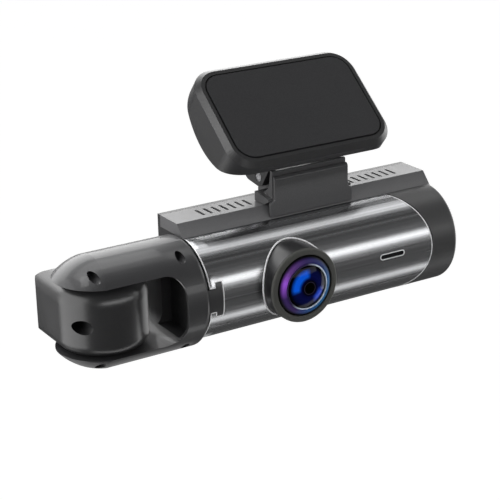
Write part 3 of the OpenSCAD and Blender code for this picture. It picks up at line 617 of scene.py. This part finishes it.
def add_tube(mesh, path, radius, lift, closed=True, material_index=0, sides=12):
    """A round bead along a path of (x, distance round) on the cover."""
    rings = []
    count = len(path)
    for i in range(count):
        x, across = path[i]
        before, after = path[i - 1], path[(i + 1) % count]
        if not closed:
            before, after = path[max(0, i - 1)], path[min(count - 1, i + 1)]
        a = across / COVER_R
        normal = Vector((0, -math.cos(a), math.sin(a)))
        side = (on_cover(*after) - on_cover(*before)).cross(normal).normalized()
        centre = on_cover(x, across, COVER_R + lift)
        turns = [2 * math.pi * k / sides for k in range(sides)]
        rings.append([mesh.verts.new(centre + (side * math.cos(t) + normal * math.sin(t)) * radius)
                      for t in turns])
    for i in range(count if closed else count - 1):
        lower, upper = rings[i], rings[(i + 1) % count]
        for k in range(sides):
            n = (k + 1) % sides
            mesh.faces.new((lower[n], lower[k], upper[k], upper[n])).material_index = material_index
    if not closed:
        mesh.faces.new(rings[0]).material_index = material_index
        mesh.faces.new(reversed(rings[-1])).material_index = material_index


def within(point, outline, holes):
    """Whether a point is within the outline and outside every hole."""
    return inside(point, outline) and not any(inside(point, hole) for hole in holes)


def filled(outlines, spacing=1.2 * MM):
    """Flat points and triangles that fill the first outline, round the holes in the others."""
    points, edges = [], []
    for outline in outlines:
        first = len(points)
        points += outline
        edges += [(first + i, first + (i + 1) % len(outline)) for i in range(len(outline))]
    margins = [moved_in(outline, spacing / 3) for outline in outlines]
    low, high = min(p[1] for p in points), max(p[1] for p in points)
    right = max(p[0] for p in points)
    spacing_along = 4 * spacing
    same_point = 1e-7
    for i in range(1, int(right / spacing_along)):
        for k in range(1, int((high - low) / spacing)):
            p = (spacing_along * i, low + spacing * k)
            if within(p, margins[0], margins[1:]):
                points.append(p)
    cut = delaunay_2d_cdt([Vector(p) for p in points], edges, [], 0, same_point)
    flat, triangles = cut[0], cut[2]
    kept = []
    for t in triangles:
        middle = sum((flat[i] for i in t), Vector((0, 0))) / 3
        if within(middle, outlines[0], outlines[1:]):
            kept.append(t)
    return flat, kept


def brushed_cover(materials):
    """The front cover as a bent sheet with openings and two rolled ends, bright with a painted highlight.
    """
    chamfer, clearance = 0.06 * MM, 0.05 * MM
    barrel = circle_path(*LENS_ON_COVER, BARREL_R + clearance)
    indicator = slot_path(*SLOT_ON_COVER, SLOT_SIZE.x + 2 * clearance, SLOT_SIZE.z + 2 * clearance)
    outlines = [cover_outline()]
    for path in (barrel, indicator):
        outlines.append([(x, round_of(z)) for x, z in path])
    flat, triangles = filled([moved_in(outline, chamfer) for outline in outlines])

    mesh = bmesh.new()
    outer = [mesh.verts.new(on_cover(p.x, p.y)) for p in flat]
    inner = [mesh.verts.new(on_cover(p.x, p.y, COVER_R - COVER_SKIN)) for p in flat]
    for t in triangles:
        mesh.faces.new([outer[i] for i in t])
        mesh.faces.new([inner[i] for i in reversed(t)])
    add_cut_edges(mesh, outlines, outer, inner, chamfer)
    add_rolled_ends(mesh, outlines[0])
    loose = [v for v in mesh.verts if not v.link_faces]
    bmesh.ops.delete(mesh, geom=loose, context="VERTS")
    piece = add_piece("brushed_cover_sheet", mesh, [materials["brushed_cover"], materials["edge"]],
                      "camera_body", "brushed_cover", "front_cover")
    set_cover_normals(piece)


def add_cut_edges(mesh, outlines, outer, inner, chamfer):
    """A chamfer and a wall round every outline; outer and inner start with the outlines' points."""
    first = 0
    for outline in outlines:
        count = len(outline)
        edge = [mesh.verts.new(on_cover(x, u, COVER_R - chamfer)) for x, u in outline]
        root = [mesh.verts.new(on_cover(x, u, COVER_R - COVER_SKIN)) for x, u in outline]
        for i in range(count):
            n = (i + 1) % count
            a, b = first + i, first + n
            mesh.faces.new((edge[i], edge[n], outer[b], outer[a]))
            mesh.faces.new((root[i], root[n], edge[n], edge[i]))
            mesh.faces.new((inner[a], inner[b], root[n], root[i]))
        first += count


def add_rolled_ends(mesh, outline):
    """Beads along the cover's left and right ends, mostly sunk into the sheet."""
    bead_r, halfway = 0.22 * MM, 40 * MM
    path = moved_in(outline, bead_r)
    lowest, highest = min(p[1] for p in path), max(p[1] for p in path)
    on_ends = [p for p in path if lowest + bead_r < p[1] < highest - bead_r]
    for end in ([p for p in on_ends if p[0] > halfway], [p for p in on_ends if p[0] < halfway]):
        # Material 1 is the edge material, its nearly white colour a painted highlight.
        add_tube(mesh, end, bead_r, -bead_r * 0.6, closed=False, material_index=1)


def set_cover_normals(piece):
    """The bent faces take the true round normal, the rolled ends are smooth, narrow faces stay flat."""
    least_facing_of_bent = 0.9
    data = piece.data
    normals = []
    for face in data.polygons:
        middle = face.center - AXIS
        radial = Vector((0, middle.y, middle.z)).normalized()
        facing = face.normal.dot(radial)
        for corner in face.vertices:
            out = data.vertices[corner].co - AXIS
            out = Vector((0, out.y, out.z)).normalized()
            if face.material_index == 1:
                normals.append(data.vertices[corner].normal)
            elif abs(facing) < least_facing_of_bent:
                normals.append(face.normal)
            else:
                normals.append(out if facing > 0 else -out)
    data.normals_split_custom_set(normals)


def lathe(profile, steps=160):
    """A closed profile of (radius, distance forward of the body's axis) turned about the lens axis."""
    mesh = bmesh.new()
    rings = []
    for radius, forward in profile:
        if radius == 0:
            rings.append([mesh.verts.new(LENS_AXIS + Vector((0, -forward, 0)))] * steps)
            continue
        ring = []
        for k in range(steps):
            a = 2 * math.pi * k / steps
            out = Vector((radius * math.cos(a), -forward, radius * math.sin(a)))
            ring.append(mesh.verts.new(LENS_AXIS + out))
        rings.append(ring)
    for lower, upper in zip(rings, rings[1:]):
        for k in range(steps):
            n = (k + 1) % steps
            corners = [lower[k], lower[n], upper[n], upper[k]]
            kept = [v for i, v in enumerate(corners) if v not in corners[:i]]
            if len(kept) > 2:
                mesh.faces.new(kept)
    bmesh.ops.recalc_face_normals(mesh, faces=mesh.faces)
    return mesh


def arc(centre_r, centre_f, radius, start, end, steps=8):
    """Profile points on a small round, angles in degrees from outwards towards forwards."""
    points = []
    for i in range(steps + 1):
        a = math.radians(start + (end - start) * i / steps)
        points.append((centre_r + radius * math.cos(a), centre_f + radius * math.sin(a)))
    return points


def add_turned(name, profile, material, slot, replaced, sharp_over=32):
    """A turned piece of the camera, smooth but for edges of more than sharp_over degrees."""
    piece = add_piece(name, lathe(profile), [material], "camera_body", slot, replaced)
    piece.data.set_sharp_from_angle(angle=math.radians(sharp_over))


def tube_profile(end):
    """The barrel's tube from its root inside the body to its end behind the front ring."""
    root = AXIS.y - lens_high.y
    bevel = 0.15 * MM
    return [(BARREL_BORE, root), (BARREL_R, root), (BARREL_R, end - bevel),
            (BARREL_R - bevel, end), (BARREL_BORE, end), (BARREL_BORE, root)]


def face_ring_profile(back, front):
    """The barrel's front ring with a round outer edge and a smaller round at the bore."""
    outer_round, inner_round = 0.5 * MM, 0.25 * MM
    profile = [(BARREL_BORE, back), (BARREL_R, back)]
    profile += arc(BARREL_R - outer_round, front - outer_round, outer_round, 0, 90)
    profile += arc(BARREL_BORE + inner_round, front - inner_round, inner_round, 90, 180)
    return profile + [(BARREL_BORE, back)]


def retainer_profile(back, front):
    """The coated retainer: a convex sweep that rises from the bore to the bright ring."""
    outer_r = BARREL_BORE - 0.05 * MM
    foot = front - 0.5 * MM
    top = AXIS.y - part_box("lens_coated_ring")[0].y
    profile = [(RETAINER_INNER_R, back), (outer_r, back), (outer_r, foot - 0.05 * MM)]
    steps = 10
    for i in range(steps + 1):
        t = i / steps
        profile.append((outer_r + (RETAINER_INNER_R - outer_r) * t,
                        foot + (top - foot) * math.sin(t * math.pi / 2)))
    return profile + [(RETAINER_INNER_R, back)]


def bright_ring_profile(back):
    """The thin ring round the glass, with a round crown."""
    low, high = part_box("lens_trim_ring")
    half = 0.2 * MM
    middle = (high.x - low.x) / 2 - half
    crown = AXIS.y - low.y
    profile = [(middle - half, back), (middle + half, back)]
    profile += arc(middle, crown - half, half, 0, 180)
    return profile + [(middle - half, back)]


def lens_barrel(materials):
    """Gloss tube, its matt front ring, the coated retainer and the thin bright ring."""
    front = AXIS.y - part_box("barrel_front_ring")[0].y
    tube_end, seat = front - 0.8 * MM, front - 1.0 * MM
    add_turned("barrel_tube", tube_profile(tube_end), materials["barrel"],
               "barrel", "barrel_housing")
    add_turned("barrel_face_ring", face_ring_profile(tube_end, front), materials["face_ring"],
               "body_shell", "barrel_front_ring")
    add_turned("lens_retainer", retainer_profile(seat, front), materials["coated"],
               "coated", "lens_coated_ring")
    add_turned("lens_bright_ring", bright_ring_profile(seat), materials["bright_ring"],
               "chrome_trim", "lens_trim_ring")


def front_glass(materials):
    """The front element: a dome with a flat back."""
    low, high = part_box("front_lens")
    rim = (high.x - low.x) / 2
    crown, seat = AXIS.y - low.y, AXIS.y - high.y
    dome_r, steps = 14 * MM, 28
    profile = [(0, seat), (rim, seat)]
    for i in range(steps + 1):
        r = rim * (1 - i / steps)
        profile.append((r, crown - dome_r + math.sqrt(dome_r ** 2 - r ** 2)))
    add_turned("front_glass", profile, materials["lens_glass"], "lens_glass", "front_lens",
               sharp_over=60)


def bead_on_cover(name, path, radius, lift, material, replaced):
    """A round bright bead that follows a closed path of (x, z) on the cover."""
    mesh = bmesh.new()
    add_tube(mesh, [(x, round_of(z)) for x, z in path], radius, lift)
    bmesh.ops.recalc_face_normals(mesh, faces=mesh.faces)
    add_piece(name, mesh, [material], "camera_body", "chrome_trim", replaced)


def trims(materials):
    """The beads round the barrel's root and the indicator, bright with the edge material's painted
    highlight.
    """
    barrel_wire, wire = 0.25 * MM, 0.15 * MM
    barrel = circle_path(*LENS_ON_COVER, BARREL_R + barrel_wire + 0.01 * MM)
    bead_on_cover("barrel_bead", barrel, barrel_wire, 0.05 * MM, materials["edge"], "barrel_base_ring")
    indicator = slot_path(*SLOT_ON_COVER, SLOT_SIZE.x - 2 * wire, SLOT_SIZE.z - 2 * wire)
    bead_on_cover("indicator_bead", indicator, wire, -0.06 * MM, materials["edge"], "indicator_bezel")


# ---- finishing of the CAD nodes --------------------------------------------------


def soften_edges(node, radius):
    """A small round on every sharp edge of a CAD node, as moulding and deburring leave."""
    flat_within, sharp_over = math.radians(0.5), math.radians(30)
    weld = node.modifiers.new("weld", "WELD")
    weld.merge_threshold = 1e-6
    flat = node.modifiers.new("flat", "DECIMATE")
    flat.decimate_type = "DISSOLVE"
    flat.angle_limit = flat_within
    bevel = node.modifiers.new("bevel", "BEVEL")
    bevel.width = radius
    bevel.segments = 2
    bevel.limit_method = "ANGLE"
    bevel.angle_limit = sharp_over
    bevel.harden_normals = True
    bevel.use_clamp_overlap = True


EDGE_ROUNDS = {"top_cover": 0.25 * MM, "rear_housing": 0.3 * MM, "mount_bracket": 0.25 * MM,
               "bracket_cover": 0.2 * MM}


def finish_cad_nodes(materials):
    """Each CAD node gets its slot's material, and four get small rounds."""
    for name, node in NODES.items():
        node.data.materials.clear()
        node.data.materials.append(materials[SLOT_OF[name]])
    for name, radius in EDGE_ROUNDS.items():
        soften_edges(NODES[name], radius)


add_camera()
add_floor()
add_lights()
finishes = make_materials()
finish_cad_nodes(finishes)
brushed_cover(finishes)
lens_barrel(finishes)
front_glass(finishes)
trims(finishes)
